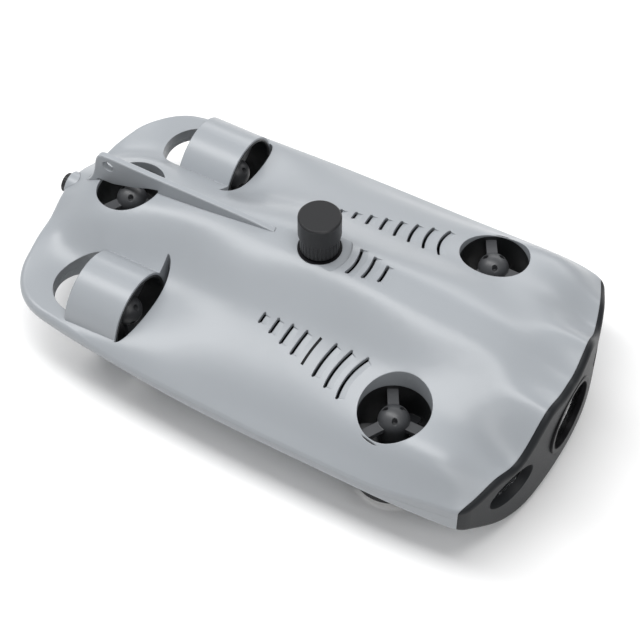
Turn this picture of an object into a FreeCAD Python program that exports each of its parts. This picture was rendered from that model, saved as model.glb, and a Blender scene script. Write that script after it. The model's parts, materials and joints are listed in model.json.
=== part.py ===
import FreeCAD, Part
import math
import os
from FreeCAD import Rotation, Vector

# Small underwater inspection vehicle.  Millimetres, +Z up, nose towards -Y, port side +X.
# The origin lies under the middle of the overall box, on the surface the feet rest on.

# ---- Hull form ----------------------------------------------------------------------------
NOSE_Y = -192.5            # foremost point of the nose
FACE_RADIUS = 240.0        # plan radius of the nose face
BEZEL_RADIUS = 255.0       # plan radius of the joint between nose bezel and hull
BEZEL_DEPTH = 4.6          # depth of the bezel on the centre line
NOSE_HALF_WIDTH = 106.0    # where the nose face meets the side, before rounding
NOSE_CORNER = 14.0         # plan radius of the two nose corners
TAIL_CORNER = 42.0         # plan radius of the two tail corners
RIM_ROUND = 4.0            # rounding along the whole plan outline
WALL = 3.0                 # wall of both hull mouldings
PARTING_Z = 50.0           # height of the joint between the two hull mouldings
BEAM_Z = 49.0              # height of the greatest width

# Table of offsets: the hull's height above and below, at fixed distances from the centre.
TOP_X = (0, 14, 30, 46, 62, 78, 94, 106)
BOTTOM_X = (0, 25, 50, 75, 98)
STATIONS = (
    # y, half beam, heights of the top, heights of the underside
    (-205, 115.0, (83, 82.5, 81.5, 76.5, 71, 73, 67, 57), (16, 16, 17, 22, 37)),
    (-150, 115.0, (96, 95, 90.5, 84, 78, 77.5, 72, 60), (6, 6.5, 8.5, 15, 31)),
    (-102, 114.5, (104.5, 103, 96.5, 88, 83, 79, 72.5, 60), (3.5, 4, 6, 13, 30)),
    (-60, 114.5, (108.3, 106.6, 98, 87, 80.5, 75, 67, 57.5), (3, 3.5, 5.5, 13, 30)),
    (-10, 114.5, (109, 107, 98, 87, 79.5, 73.5, 65.5, 57), (3, 3.5, 6, 14.5, 31)),
    (40, 113.5, (103.2, 100.5, 92, 80.5, 74, 69.5, 63.5, 57), (5, 6, 11, 22, 36)),
    (85, 111.0, (97, 93, 80, 69, 65.5, 64, 61.5, 56.5), (18, 21, 30, 38.5, 44.5)),
    (116, 109.0, (93.5, 91.5, 82, 68, 62.5, 61, 59, 56), (32, 34, 39, 43, 46)),
    (138, 108.0, (89.5, 88.5, 81.5, 66, 59.5, 58.5, 57.5, 55.5), (39, 40, 42.5, 45, 46.5)),
    (165, 108.0, (79, 77.5, 70.5, 61, 57, 56, 55.5, 54.5), (43, 43.5, 44.5, 45.5, 46.5)),
    (200, 108.0, (60, 59.5, 58, 56, 55, 54.5, 54, 53.5), (45, 45, 45.5, 46, 47)),
)
LOWEST_STATION = STATIONS[3]
# Keel under the tail, round the tail thruster: y, half width, underside.
KEEL_STATIONS = ((20, 30, 9), (60, 32, 8), (110, 31, 10), (140, 30, 15), (164, 24, 28),
                 (184, 14, 43))
KEEL_TOP = 54.0
KEEL_FLAT = 0.7            # the keel's underside stays nearly flat over this share of it
KEEL_RISE = 1.5            # and rises by this much there
KEEL_SIDE = 0.35           # share of the keel's height where it is widest
KEEL_SHOULDER = 6.0
KEEL_CREST = 0.6
SIDE_LINE = ((108.5, -150), (112, -120), (113, -75), (113, -30), (112, 20), (110, 73),
             (106.5, 115), (101.5, 150))
TAIL_LINE = ((96, 178), (75, 179.5), (50, 183), (25, 186), (0, 187))
PLAN_LOW = -5.0            # the plan outline is drawn below the hull and raised past it
PLAN_HIGH = 150.0
REACH = 250.0              # cutting blocks run this far out, past every side
CLEAR = 10.0               # bores and blocks overshoot the pieces that they cut
SIDE_CAVITY_END_Y = 58.0   # the flooded space inside ends ahead of the ducts' inlets
CAVITY_END_Y = 72.0        # and, on the centre line, ahead of the tail thruster
CENTRE_CAVITY = 36.5       # half width of that middle stretch

# ---- Lift thrusters (vertical tunnels) ----------------------------------------------------
LIFT_X = 70.2
LIFT_Y = -101.9
TAIL_LIFT_Y = 137.0
TUNNEL_RADIUS = 23.4       # opening in the hull
LINER_WALL = 1.6
LINER_TOP = 71.5
TAIL_LINER_TOP = 78.0
FRONT_LINER_FOOT = 9.0
TAIL_LINER_FOOT = 30.0
SLEEVE_WALL = 2.6          # collar of hull moulding round each liner end
SLEEVE_GRIP = 6.0          # how far a collar runs along its liner
SEAT_CLEARANCE = 0.1

# ---- Drive thrusters (horizontal ducts) ---------------------------------------------------
DUCT_X = 69.6
DUCT_Z = 53.0
DUCT_RADIUS = 30.7
DUCT_WALL = 1.7
DUCT_FRONT = 87.4
DUCT_REAR = 126.3
DUCT_LIP = 0.5             # the dark liner stands proud of both duct ends
SCOOP_DEPTH = 9.0          # the deck opens ahead of each duct
SCOOP_FLARE = 6.5          # and reaches this far inboard of the duct's side
INLET_DEPTH = 24.0         # the underside opens further ahead
INLET_ROOF = 54.0
LOOP_X = 69.0              # the through opening behind each duct
LOOP_HALF_WIDTH = 24.0
LOOP_LENGTH = 26.0

# ---- Motor pods and propellers ------------------------------------------------------------
POD_RADIUS = 10.4
POD_BARREL = 16.0          # straight length of a pod below its dome
POD_HOLE_RADIUS = 1.8
POD_HOLE_RING = 6.3
POD_HOLE_FLOOR = 6.5       # above the arms' undersides
POD_TOP_DROP = 5.0         # the dome's centre lies this far below the liner's top
ARM_WIDTH = 7.2
ARM_THICKNESS = 3.6
ARM_SPACING = 120
ARM_HEADINGS = tuple(30 + i * ARM_SPACING for i in range(3))
MOTOR_RADIUS = 8.2
MOTOR_LENGTH = 10.0
MOTOR_GAP = 0.6            # between the potting and the shaft
SHAFT_RADIUS = 2.0
SHAFT_RUNNING_FIT = 0.05
SHAFT_SOCKET = 6.0         # depth of the bearing bore above the motor
AXIAL_PLAY = 0.5
HUB_RADIUS = 8.0
HUB_LENGTH = 12.0
HUB_NOSE = ((0.55, 0.0), (0.9, 2.0), (1.0, 4.5))   # shares of the radius, heights
SHAFT_IN_HUB = 9.0
TIP_CLEARANCE = 0.9
BLADE_COUNT = 3
BLADE_THICKNESS = 1.8
BLADE_EDGE = 0.6
BLADE_PITCH = 52.0
BLADE_DROP = 6.6           # the blades' middles lie this far below the hub's top
BLADE_HALF_CHORDS = (7.5, 10.5, 9.5)   # at the root, half way and the tip
BLADE_ROOT = 0.7           # share of the hub's radius where the blades start
BLADE_OVERSHOOT = 1.5      # trimmed off again at the tip circle
DRIVE_ARM_SETBACK = 12.5   # the arms stand this far behind a duct's front face

# ---- Fin ----------------------------------------------------------------------------------
FIN_THICKNESS = 4.4
FIN_EDGE_ROUND = 0.9
FIN_HOLE_RADIUS = 4.4
FIN_HOLE_Y = 152.4
FIN_HOLE_Z = 98.6
FIN_TOP = ((18, 104.6), (34, 106.4), (62, 107.2), (100, 107.2), (136, 107.5), (149, 107.6),
           (156, 107.2))
FIN_REAR = ((160.2, 105), (162.8, 99), (164.2, 92), (166, 85), (169.6, 78), (176, 71))
FIN_BRIDGE = ((162.8, 82), (147.5, 83), (131.3, 88.4), (121, 93.4), (113, 96))
FIN_ROOT_Z = 62.0
FIN_FORE_ROOT_Z = 96.0
FIN_ROOT_FALL = 10.0       # the root line drops by this much towards the tail

# ---- Vents --------------------------------------------------------------------------------
SLOT_WIDTH = 1.9
SIDE_SLOTS = 8
SLOT_FIRST_RADIUS = 37.4   # arcs round the lift thruster
SLOT_PITCH = 10.03
SLOT_INNER_X = 48.7
SLOT_OUTER_X = 77.9        # outer end of the slot next to the thruster
SLOT_OUTER_STEP = 3.4      # each further slot is shorter
RIDGE_SLOTS = ((27.0, 10.3), (36.7, 8.7), (46.5, 6.3))   # radius round the cap, half width
VENT_FLOOR = 66.0          # the vents cut down to here, below the moulding's wall
RIDGE_VENT_FLOOR = 97.0
LOUVRE_WIDTH = 5.2         # each slot lies at the foot of a ramp sunk into the deck
LOUVRE_DEPTH = 1.9
LOUVRE_STATIONS = 5        # sections that each ramp is lofted through
HEIGHT_STEPS = 4

# ---- Card port and its screw cap ----------------------------------------------------------
PORT_Y = -9.3
CAP_RADIUS = 14.1
CAP_TOP = 138.0
CAP_FOOT = 108.4
CAP_WAIST_RADIUS = 12.9
CAP_WAIST_TOP = 121.5
CAP_CHAMFER = 1.0
CAP_BREAK = 0.6            # small bevels at the foot and under the head
CAP_RIBS = 30
RIB_GROOVE = 0.55
RIB_OFFSET = 0.22          # the grooves' centres lie outside the waist
PLUG_RADIUS = 8.0
PLUG_FOOT = 96.0
PLUG_RUNNING_FIT = 0.06
PORT_RADIUS = 12.0
PORT_FLANGE_RADIUS = 15.5  # boss in the moulding
PORT_SEAT_RADIUS = 14.4    # flange of the seat that is let into it
PORT_FLANGE = 2.5
PORT_FLOOR = 2.5           # moulding below the seat's flange
PORT_SKIRT = 12.0          # the seat reaches this far below that
CARD_HALF_WIDTH = 5.5
CARD_HALF_SLOT = 1.2
CARD_DEPTH = 4.0
CARD_STEM_GAP = 1.0        # between the socket and the plug
SADDLE_DEPTH = 3.0         # the socket reaches down round the dry housing
DISH_RADIUS = 21.0
DISH_FLOOR = 107.4
SEAL_SECTION = 0.9         # half the section of the seals, pressed square in their grooves

# ---- Tether port --------------------------------------------------------------------------
TETHER_Z = 59.5
TETHER_TIP = 192.5
SOCKET_RADIUS = 9.8
SOCKET_BORE = 4.6
SOCKET_START = 166.0
SOCKET_END = 188.2
SOCKET_ROUND = 0.8
SOCKET_NOTCH = 4.0         # length and width of the coupling notch
NOTCH_HEADING = 40.0       # the notch lies this far below the starboard side
RING_OVERHANG = 0.8        # the ring's end stands past the neck
RING_RADIUS = 6.9
RING_FIT = 0.08
RING_GAP = 0.2             # between the ring and the socket's end
RING_CHAMFER = 0.5
RING_GRIPS = 16
RING_GROOVE = 0.5
COLLAR_RADIUS = 5.6        # threaded neck that the ring turns on
INSERT_START = 172.0
INSERT_LENGTH = 8.0
CONTACT_REACH = 4.0        # the pins stand out of the insulator
CONTACT_FLOOR = 1.0        # the insulator closes behind the pins
CONTACTS = 5
CONTACT_RADIUS = 0.6
CONTACT_RING = 2.7

# ---- Nose ---------------------------------------------------------------------------------
SPIGOT_Y = -174.0          # rear face of the bezel's spigot
SPIGOT_HALF_WIDTH = 92.0
CAMERA_Z = 48.5
CAMERA_RING_RADIUS = 27.0
CAMERA_RING_WIDTH = 3.4
CAMERA_RING_PROUD = 0.4
CAMERA_RING_CHAMFER = 0.35
CAMERA_RECESS = 3.2        # window lies this far behind the ring's front
WINDOW_THICKNESS = 3.0
WINDOW_REBATE = 1.2
LENS_RADIUS = 9.5
LENS_CURVE = 16.0
LENS_BARREL = 7.7          # length of the bore that holds the lens
LENS_HOOD_RADIUS = 13.0
HOOD_GAP = 0.3             # behind the window
HOOD_MOUTH = 4.0
HOOD_RIM = 0.8
HOOD_CLEARANCE = 1.0
LAMP_X = 63.5
LAMP_Z = 45.0
LAMP_HALF_WIDTH = 18.49     # of the window; the recess in front of it flares
LAMP_HALF_HEIGHT = 11.18
LAMP_FLARE = 4.2
LAMP_FUNNEL = 14.0
LAMP_REACH = 40.0
LAMP_POCKET = 18.0         # straight pocket behind the window, for the reflector
LAMP_FACE_Y = -177.5       # front of the lamp windows
LAMP_WINDOW = 2.0
LAMP_SKEW = 16.0           # the lamps look outwards by this angle
REFLECTOR_DEPTH = 6.0
REFLECTOR_TAPER = 6.0
REFLECTOR_RIM = 1.4
REFLECTOR_FLOOR = 1.2
CHIP_OFFSET = 5.0
CHIP_RADIUS = 2.2
CHIP_HEIGHT = 1.2

# ---- Dry housing --------------------------------------------------------------------------
TUBE_RADIUS = 36.0
TUBE_WALL = 3.0
TUBE_Z = 50.5
TUBE_FRONT = -158.0
TUBE_REAR = 60.0
END_CAP = 6.0
END_SPIGOT = 9.0
CAP_FIT = 0.05
CELL_RADIUS = 9.2
CELL_LENGTH = 65.0
CELL_RING = 19.6
CELL_GAP = 0.3             # between the cells and the holder's core
CELLS = 6
CELL_START = -20.0
HOLDER_THICKNESS = 4.0
BOARD_THICKNESS = 1.6
BOARD_WIDTH = 52.0
BOARD_LENGTH = 86.0
BOARD_Y = -80.0
BOARD_HEIGHTS = (34.0, 50.5, 67.0)
BOARD_CHIPS = ((-8, -20), (9, 0), (-6, 22))        # places of the larger components
CHIP_HALF = 6.0
CHIP_RISE = 2.5
STANDOFF_RADIUS = 2.5
RAIL_HEIGHT = 2.0
RAIL_CLEARANCE = 3.0       # keeps the rails' corners off the tube
STANDOFF_X = 20.0
STANDOFF_Y = 38.0
CRADLE_THICKNESS = 4.0
CRADLE_YS = (-128.0, -20.0, 48.0)
CRADLE_HALF_WIDTH = 41.0

# ---- Fixings, feet and ballast ------------------------------------------------------------
SCREW_PLACES = ((99, -128), (101, -40), (101, 30))
SCREW_RADIUS = 1.5
SCREW_HEAD_RADIUS = 2.8
SCREW_HEAD = 2.4
SCREW_CLEARANCE = 0.3      # round the heads
SCREW_SEAT_Z = 42.0
SCREW_TIP_Z = 57.0
BOSS_RADIUS = 4.6
FOOT_RADIUS = 7.0
FOOT_PLACES = ((34, -128), (34, 30))
MOUNT_Y = -60.0
MOUNT_THREAD_RADIUS = 2.6
MOUNT_INSERT_RADIUS = 4.6
MOUNT_INSERT_LENGTH = 8.0
MOUNT_BOSS_RADIUS = 8.0
MOUNT_BOSS_GAP = 1.0       # below the dry housing
BALLAST_X = 24.0
BALLAST_WIDTH = 12.0
BALLAST_HEIGHT = 4.5
BALLAST_LENGTH = 70.0
BALLAST_Y = -74.0
BALLAST_RISE = 1.5         # the floor curves up towards the bars' outer edges
SENSOR_RADIUS = 5.0
SENSOR_PORT_RADIUS = 1.2
SENSOR_PORT_DEPTH = 4.0
SENSOR_GAP = 0.5           # behind the dry housing's rear cap
SENSOR_SEAT = 8.0          # length let into the bulkhead
FOOT_HEIGHT = 20.0         # before the hull's own form is taken out of the pads

# ---- Heights that follow from the others --------------------------------------------------
PORT_SHELF = DISH_FLOOR - PORT_FLANGE - PORT_FLOOR
PORT_FOOT = PORT_SHELF - PORT_SKIRT
SENSOR_Z = 30.0
SENSOR_START_Y = TUBE_REAR + END_CAP + SENSOR_GAP
SENSOR_END_Y = CAVITY_END_Y + SENSOR_SEAT
BALLAST_FLOOR = LOWEST_STATION[3][1] + WALL + BALLAST_RISE


# ---- Drawing helpers ----------------------------------------------------------------------

def rod(radius, z0, z1, x=0.0, y=0.0):
    """Upright cylinder between two heights."""
    return Part.makeCylinder(radius, z1 - z0, Vector(x, y, z0))


def bar(radius, y0, y1, x=0.0, z=0.0):
    """Cylinder lying along Y."""
    return Part.makeCylinder(radius, y1 - y0, Vector(x, y0, z), Vector(0, 1, 0))


def block(x0, x1, y0, y1, z0, z1):
    return Part.makeBox(x1 - x0, y1 - y0, z1 - z0, Vector(x0, y0, z0))


def oval(half_x, half_y, x, y, z0, z1):
    """Upright elliptical cylinder."""
    if half_x >= half_y:
        curve = Part.Ellipse(Vector(x, y, z0), half_x, half_y)
        edge = curve.toShape()
    else:
        curve = Part.Ellipse(Vector(x, y, z0), half_y, half_x)
        edge = curve.toShape()
        edge.rotate(Vector(x, y, z0), Vector(0, 0, 1), 90)
    return Part.Face(Part.Wire(edge)).extrude(Vector(0, 0, z1 - z0))


def turned(profile, y=0.0, x=0.0):
    """Revolve a closed (radius, height) outline about the upright line through (x, y)."""
    points = [Vector(x + radius, y, height) for radius, height in profile]
    face = Part.Face(Part.makePolygon(points + points[:1]))
    return face.revolve(Vector(x, y, 0), Vector(0, 0, 1), 360)


def curve_through(points):
    spline = Part.BSplineCurve()
    spline.interpolate([Vector(*point) for point in points])
    return spline.toShape()


def arc_at(radius, centre, angle, height):
    """Point on a level circle, at an angle in degrees from +X."""
    turn = math.radians(angle)
    return Vector(centre[0] + radius * math.cos(turn), centre[1] + radius * math.sin(turn), height)


def both_sides(shape):
    return [shape, shape.mirror(Vector(0, 0, 0), Vector(1, 0, 0))]


def round_slot(centre, radius, angle0, angle1, width, z0, z1):
    """Upright slot that follows a circle, with round ends."""
    middle = (angle0 + angle1) / 2
    outer, inner = radius + width / 2, radius - width / 2
    edges = [Part.Arc(*[arc_at(outer, centre, a, z0) for a in (angle0, middle, angle1)]).toShape(),
             Part.Arc(*[arc_at(inner, centre, a, z0) for a in (angle0, middle, angle1)]).toShape()]
    for angle in (angle0, angle1):
        edges.append(Part.makeLine(arc_at(outer, centre, angle, z0),
                                   arc_at(inner, centre, angle, z0)))
    wire = Part.Wire(Part.__sortEdges__(edges))
    slot = Part.Face(wire).extrude(Vector(0, 0, z1 - z0))
    ends = [rod(width / 2, z0, z1, *arc_at(radius, centre, a, z0)[:2]) for a in (angle0, angle1)]
    return slot.fuse(ends)


# ---- Hull form ----------------------------------------------------------------------------

def section_points(station, inset):
    """Closed section at one station; an inset of one wall gives the inside."""
    y, beam, tops, bottoms = station
    half = [Vector(x, y, top - inset) for x, top in zip(TOP_X, tops)]
    half.append(Vector(beam - inset, y, BEAM_Z))
    half += [Vector(x, y, low + inset) for x, low in reversed(list(zip(BOTTOM_X, bottoms)))]
    return half + [Vector(-p.x, p.y, p.z) for p in reversed(half[1:-1])]


def shared_parameters(sections):
    """One spacing for all the sections, so that they loft into a single clean surface."""
    count = len(sections[0])
    steps = [0.0] * count
    for points in sections:
        for i in range(count):
            steps[i] += math.sqrt((points[(i + 1) % count] - points[i]).Length)
    total = sum(steps)
    return [sum(steps[:i]) / total for i in range(count)] + [1.0]


def lofted_hull(inset):
    sections = [section_points(station, inset) for station in STATIONS]
    spacing = shared_parameters(sections)
    wires = []
    for points in sections:
        curve = Part.BSplineCurve()
        curve.interpolate(Points=points, PeriodicFlag=True, Parameters=spacing)
        wires.append(Part.Wire(curve.toShape()))
    return Part.makeLoft(wires, True, False)


def face_y(radius, apex, x):
    """Y of a plan arc whose foremost point is apex, at a distance x from the centre line."""
    return apex + radius - math.sqrt(radius * radius - x * x)


def plan_outline(inset):
    """Upright prism inside the plan outline, open to the nose face, with rounded corners."""
    nose_x = NOSE_HALF_WIDTH - inset
    corner = Vector(nose_x, face_y(FACE_RADIUS, NOSE_Y, nose_x), PLAN_LOW)
    mirrored = Vector(-corner.x, corner.y, corner.z)
    face = Part.Arc(mirrored, Vector(0, NOSE_Y, PLAN_LOW), corner).toShape()
    side = [(corner.x, corner.y, PLAN_LOW)]
    side += [(x - inset, y, PLAN_LOW) for x, y in SIDE_LINE]
    side.append((TAIL_LINE[0][0] - inset, TAIL_LINE[0][1] - inset, PLAN_LOW))
    half_tail = [(x - inset if x else 0, y - inset, PLAN_LOW) for x, y in TAIL_LINE]
    tail = half_tail + [(-x, y, z) for x, y, z in reversed(half_tail[:-1])]
    other_side = [(-x, y, z) for x, y, z in side]
    edges = [face, curve_through(side), curve_through(tail), curve_through(other_side)]
    prism = Part.Face(Part.Wire(Part.__sortEdges__(edges))).extrude(
        Vector(0, 0, PLAN_HIGH - PLAN_LOW))
    for radius, ahead in ((NOSE_CORNER, True), (TAIL_CORNER, False)):
        corners = [e for e in upright_edges(prism)
                   if (e.CenterOfMass.y < SPIGOT_Y + CLEAR if ahead
                       else e.CenterOfMass.y > DUCT_REAR)]
        prism = prism.makeFillet(radius, corners)
    return prism


def upright_edges(prism):
    height = PLAN_HIGH - PLAN_LOW
    return [e for e in prism.Edges if abs(e.BoundBox.ZLength - height) < 1e-3]


def hull_form():
    """The whole outside, nose to tail, with its rim rounded."""
    form = lofted_hull(0).common(plan_outline(0))
    rim = [e for e in form.Edges if max(e.BoundBox.XLength, e.BoundBox.YLength) > 1]
    return form.makeFillet(RIM_ROUND, rim).fuse(tail_keel())


def tail_keel():
    """Rounded keel that carries the tail thruster under the thin tail deck."""
    wires = []
    for y, half, low in KEEL_STATIONS:
        side = [(half * KEEL_FLAT, low + KEEL_RISE),
                (half, low + (KEEL_TOP - low) * KEEL_SIDE),
                (half, KEEL_TOP - KEEL_SHOULDER), (half * KEEL_CREST, KEEL_TOP)]
        points = [Vector(0, y, low)] + [Vector(x, y, z) for x, z in side]
        points += [Vector(-x, y, z) for x, z in reversed(side)]
        curve = Part.BSplineCurve()
        curve.interpolate(Points=points, PeriodicFlag=True)
        wires.append(Part.Wire(curve.toShape()))
    return Part.makeLoft(wires, True, False)


def flooded_space():
    """The hollow inside the hull, ahead of the ducts."""
    inside = lofted_hull(WALL).common(plan_outline(WALL))
    wide = block(-REACH, REACH, -REACH, SIDE_CAVITY_END_Y, PLAN_LOW, PLAN_HIGH)
    narrow = block(-CENTRE_CAVITY, CENTRE_CAVITY, SIDE_CAVITY_END_Y - CLEAR, CAVITY_END_Y,
                   PLAN_LOW, PLAN_HIGH)
    return inside.common(wide.fuse(narrow))


def behind_face(radius, apex):
    """Everything behind a plan arc."""
    low, reach = PLAN_LOW - CLEAR, radius / 2
    ends = [Vector(side * reach, face_y(radius, apex, reach), low) for side in (-1, 1)]
    arc = Part.Arc(ends[0], Vector(0, apex, low), ends[1]).toShape()
    back = [Vector(p.x, REACH, p.z) for p in ends]
    edges = [arc, Part.makeLine(ends[1], back[1]), Part.makeLine(back[1], back[0]),
             Part.makeLine(back[0], ends[0])]
    return Part.Face(Part.Wire(edges)).extrude(Vector(0, 0, PLAN_HIGH + CLEAR - low))


# ---- Hull mouldings -----------------------------------------------------------------------

def insert_foot():
    """The threaded insert is flush with the hull's underside."""
    return LOWEST_STATION[3][0]


def insert_top():
    return insert_foot() + MOUNT_INSERT_LENGTH


def lift_places():
    """Name, x, y and the liner's foot and top, for the three upright tunnels."""
    return (("port_lift", LIFT_X, LIFT_Y, FRONT_LINER_FOOT, LINER_TOP),
            ("starboard_lift", -LIFT_X, LIFT_Y, FRONT_LINER_FOOT, LINER_TOP),
            ("tail_lift", 0.0, TAIL_LIFT_Y, TAIL_LINER_FOOT, TAIL_LINER_TOP))


def drive_places():
    return (("port_drive", DUCT_X), ("starboard_drive", -DUCT_X))


def liner_radius():
    return TUNNEL_RADIUS + LINER_WALL


def fin_plate():
    """Upright tail fin; it bridges the tail thruster's opening."""
    top = curve_through([(0, y, z) for y, z in FIN_TOP])
    rear = curve_through([(0, y, z) for y, z in (FIN_TOP[-1],) + FIN_REAR])
    foot = [FIN_REAR[-1], (FIN_REAR[-1][0], FIN_ROOT_Z), (FIN_BRIDGE[0][0], FIN_ROOT_Z)]
    foot += list(FIN_BRIDGE)
    foot += [(FIN_BRIDGE[-1][0], FIN_FORE_ROOT_Z - FIN_ROOT_FALL), (FIN_TOP[0][0], FIN_FORE_ROOT_Z)]
    foot.append(FIN_TOP[0])
    lines = [Part.makeLine(Vector(0, *a), Vector(0, *b)) for a, b in zip(foot, foot[1:])]
    face = Part.Face(Part.Wire(Part.__sortEdges__([top, rear] + lines)))
    face.translate(Vector(-FIN_THICKNESS / 2, 0, 0))
    plate = face.extrude(Vector(FIN_THICKNESS, 0, 0))
    edges = [e for e in plate.Edges if e.BoundBox.XLength < 1e-3
             and e.BoundBox.ZMax > FIN_BRIDGE[0][1] + 1 and e.BoundBox.YMax > FIN_TOP[1][0]
             and e.BoundBox.YLength > FIN_THICKNESS]
    plate = plate.makeFillet(FIN_EDGE_ROUND, edges)
    hole = Part.makeCylinder(FIN_HOLE_RADIUS, 2 * FIN_THICKNESS,
                             Vector(-FIN_THICKNESS, FIN_HOLE_Y, FIN_HOLE_Z), Vector(1, 0, 0))
    return plate.cut(hole)


def deck_height(skin, x, y):
    """Height of the hull's skin, found by sliding along its tangent planes."""
    point = Vector(x, y, DISH_FLOOR)
    for step in range(HEIGHT_STEPS):
        u, v = skin.parameter(point)
        touch, across = skin.value(u, v), skin.normal(u, v)
        slide = across.x * (x - touch.x) + across.y * (y - touch.y)
        point.z = touch.z - slide / across.z
    return point.z


def louvre_ramp(skin, centre, radius, angle0, angle1, noseward):
    """Wedge-shaped recess beside a slot; noseward is the sense of the ramp's radius."""
    wires = []
    deep = radius - noseward * SLOT_WIDTH / 2
    shallow = radius + noseward * LOUVRE_WIDTH
    for i in range(LOUVRE_STATIONS):
        angle = angle0 + (angle1 - angle0) * i / (LOUVRE_STATIONS - 1)
        far, near = arc_at(deep, centre, angle, 0), arc_at(shallow, centre, angle, 0)
        far.z, near.z = deck_height(skin, far.x, far.y), deck_height(skin, near.x, near.y)
        above = Vector(0, 0, LOUVRE_DEPTH)
        corners = [far - above, near, near + above, far + above]
        wires.append(Part.makePolygon(corners + corners[:1]))
    return Part.makeLoft(wires, True, False)


def side_slots():
    """Radius and end angles of the slots aft of the port lift thruster."""
    slots = []
    for i in range(SIDE_SLOTS):
        radius = SLOT_FIRST_RADIUS + i * SLOT_PITCH
        inner = math.degrees(math.acos((SLOT_INNER_X - LIFT_X) / radius))
        outer = math.degrees(math.acos((SLOT_OUTER_X - i * SLOT_OUTER_STEP - LIFT_X) / radius))
        slots.append((radius, outer, inner))
    return slots


def ridge_slots():
    """Radius and end angles of the slots ahead of the card port."""
    slots = []
    for radius, half_width in RIDGE_SLOTS:
        spread = math.degrees(math.asin(half_width / radius))
        slots.append((radius, 270 - spread, 270 + spread))
    return slots


def vents():
    """Curved slots with their ramps: a row on each side and three on the ridge."""
    cuts = []
    skin = max(lofted_hull(0).Faces, key=lambda face: face.Area).Surface
    lift, port = (LIFT_X, LIFT_Y), (0, PORT_Y)
    for radius, start, end in side_slots():
        slot = round_slot(lift, radius, start, end, SLOT_WIDTH, VENT_FLOOR, CAP_FOOT)
        cuts += both_sides(slot) + both_sides(louvre_ramp(skin, lift, radius, start, end, -1))
    for radius, start, end in ridge_slots():
        cuts.append(round_slot(port, radius, start, end, SLOT_WIDTH, RIDGE_VENT_FLOOR, CAP_TOP))
        cuts.append(louvre_ramp(skin, port, radius, start, end, 1))
    return cuts


def screw_places():
    return [(side * x, y) for x, y in SCREW_PLACES for side in (1, -1)]


def foot_places():
    return [(side * x, y) for x, y in FOOT_PLACES for side in (1, -1)]


def inner_stands():
    """Collars, bosses and cradles that the flooded space leaves standing."""
    adds = []
    for name, x, y, foot, top in lift_places()[:2]:
        collar = rod(liner_radius() + SLEEVE_WALL, top - SLEEVE_GRIP, CAP_TOP, x, y)
        heel = rod(liner_radius() + SLEEVE_WALL, PLAN_LOW, foot + SLEEVE_GRIP, x, y)
        adds += [collar, heel]
    for x, y in screw_places():
        adds.append(rod(BOSS_RADIUS, PLAN_LOW, CAP_TOP, x, y))
    for y in CRADLE_YS:
        plate = block(-CRADLE_HALF_WIDTH, CRADLE_HALF_WIDTH, y - CRADLE_THICKNESS / 2,
                      y + CRADLE_THICKNESS / 2, PLAN_LOW, TUBE_Z - TUBE_RADIUS / 2)
        adds.append(plate.cut(bar(TUBE_RADIUS, y - CLEAR, y + CLEAR, 0, TUBE_Z)))
    adds.append(rod(MOUNT_BOSS_RADIUS, PLAN_LOW, TUBE_Z - TUBE_RADIUS - MOUNT_BOSS_GAP, 0,
                    MOUNT_Y))
    adds.append(rod(PORT_FLANGE_RADIUS, PORT_SHELF, CAP_TOP, 0, PORT_Y))
    return adds


def hull_body(form):
    """Both mouldings in one piece, before they are parted."""
    shell = form.cut(flooded_space().cut(inner_stands()))
    ducts = [bar(DUCT_RADIUS, DUCT_FRONT, DUCT_REAR, x, DUCT_Z) for name, x in drive_places()]
    shell = shell.fuse(ducts)
    cuts = vents()
    for name, x, y, foot, top in lift_places():
        cuts.append(rod(TUNNEL_RADIUS, PLAN_LOW, CAP_TOP, x, y))
        cuts.append(rod(liner_radius() + SEAT_CLEARANCE, foot, top, x, y))
    for name, x in drive_places():
        cuts.append(bar(DUCT_RADIUS - DUCT_WALL, DUCT_FRONT - 2 * DUCT_LIP,
                        DUCT_REAR + 2 * DUCT_LIP, x, DUCT_Z))
        side = math.copysign(1, x)
        ahead = block(-REACH, REACH, 0, DUCT_FRONT, PLAN_LOW, CAP_TOP)
        scoop = oval(DUCT_RADIUS + SCOOP_FLARE / 2, SCOOP_DEPTH, x - side * SCOOP_FLARE / 2,
                     DUCT_FRONT, PLAN_LOW, CAP_TOP)
        inlet = oval(duct_bore(), INLET_DEPTH, x, DUCT_FRONT, PLAN_LOW, INLET_ROOF)
        loop = oval(LOOP_HALF_WIDTH, LOOP_LENGTH, side * LOOP_X, DUCT_REAR, PLAN_LOW, CAP_TOP)
        behind = block(-REACH, REACH, DUCT_REAR, REACH, PLAN_LOW, CAP_TOP)
        cuts += [scoop.common(ahead), inlet.common(ahead), loop.common(behind)]
    cuts.append(rod(DISH_RADIUS, DISH_FLOOR, CAP_TOP, 0, PORT_Y))
    cuts.append(rod(PORT_RADIUS + SEAT_CLEARANCE, PORT_SHELF - CLEAR, CAP_TOP, 0, PORT_Y))
    cuts.append(rod(PORT_SEAT_RADIUS + SEAT_CLEARANCE, DISH_FLOOR - PORT_FLANGE, CAP_TOP, 0,
                    PORT_Y))
    cuts.append(bar(SOCKET_RADIUS, SOCKET_START, TETHER_TIP, 0, TETHER_Z))
    for x, y in screw_places():
        cuts.append(rod(SCREW_HEAD_RADIUS + SCREW_CLEARANCE, PLAN_LOW, SCREW_SEAT_Z, x, y))
        cuts.append(rod(SCREW_RADIUS, PLAN_LOW, SCREW_TIP_Z, x, y))
    cuts.append(rod(MOUNT_INSERT_RADIUS, PLAN_LOW, insert_top(), 0, MOUNT_Y))
    cuts.append(bar(SENSOR_RADIUS, SENSOR_START_Y, SENSOR_END_Y, 0, SENSOR_Z))
    body = shell.cut(cuts)
    body = body.common(behind_face(BEZEL_RADIUS, NOSE_Y + BEZEL_DEPTH))
    return body.fuse(tail_fin())


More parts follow.
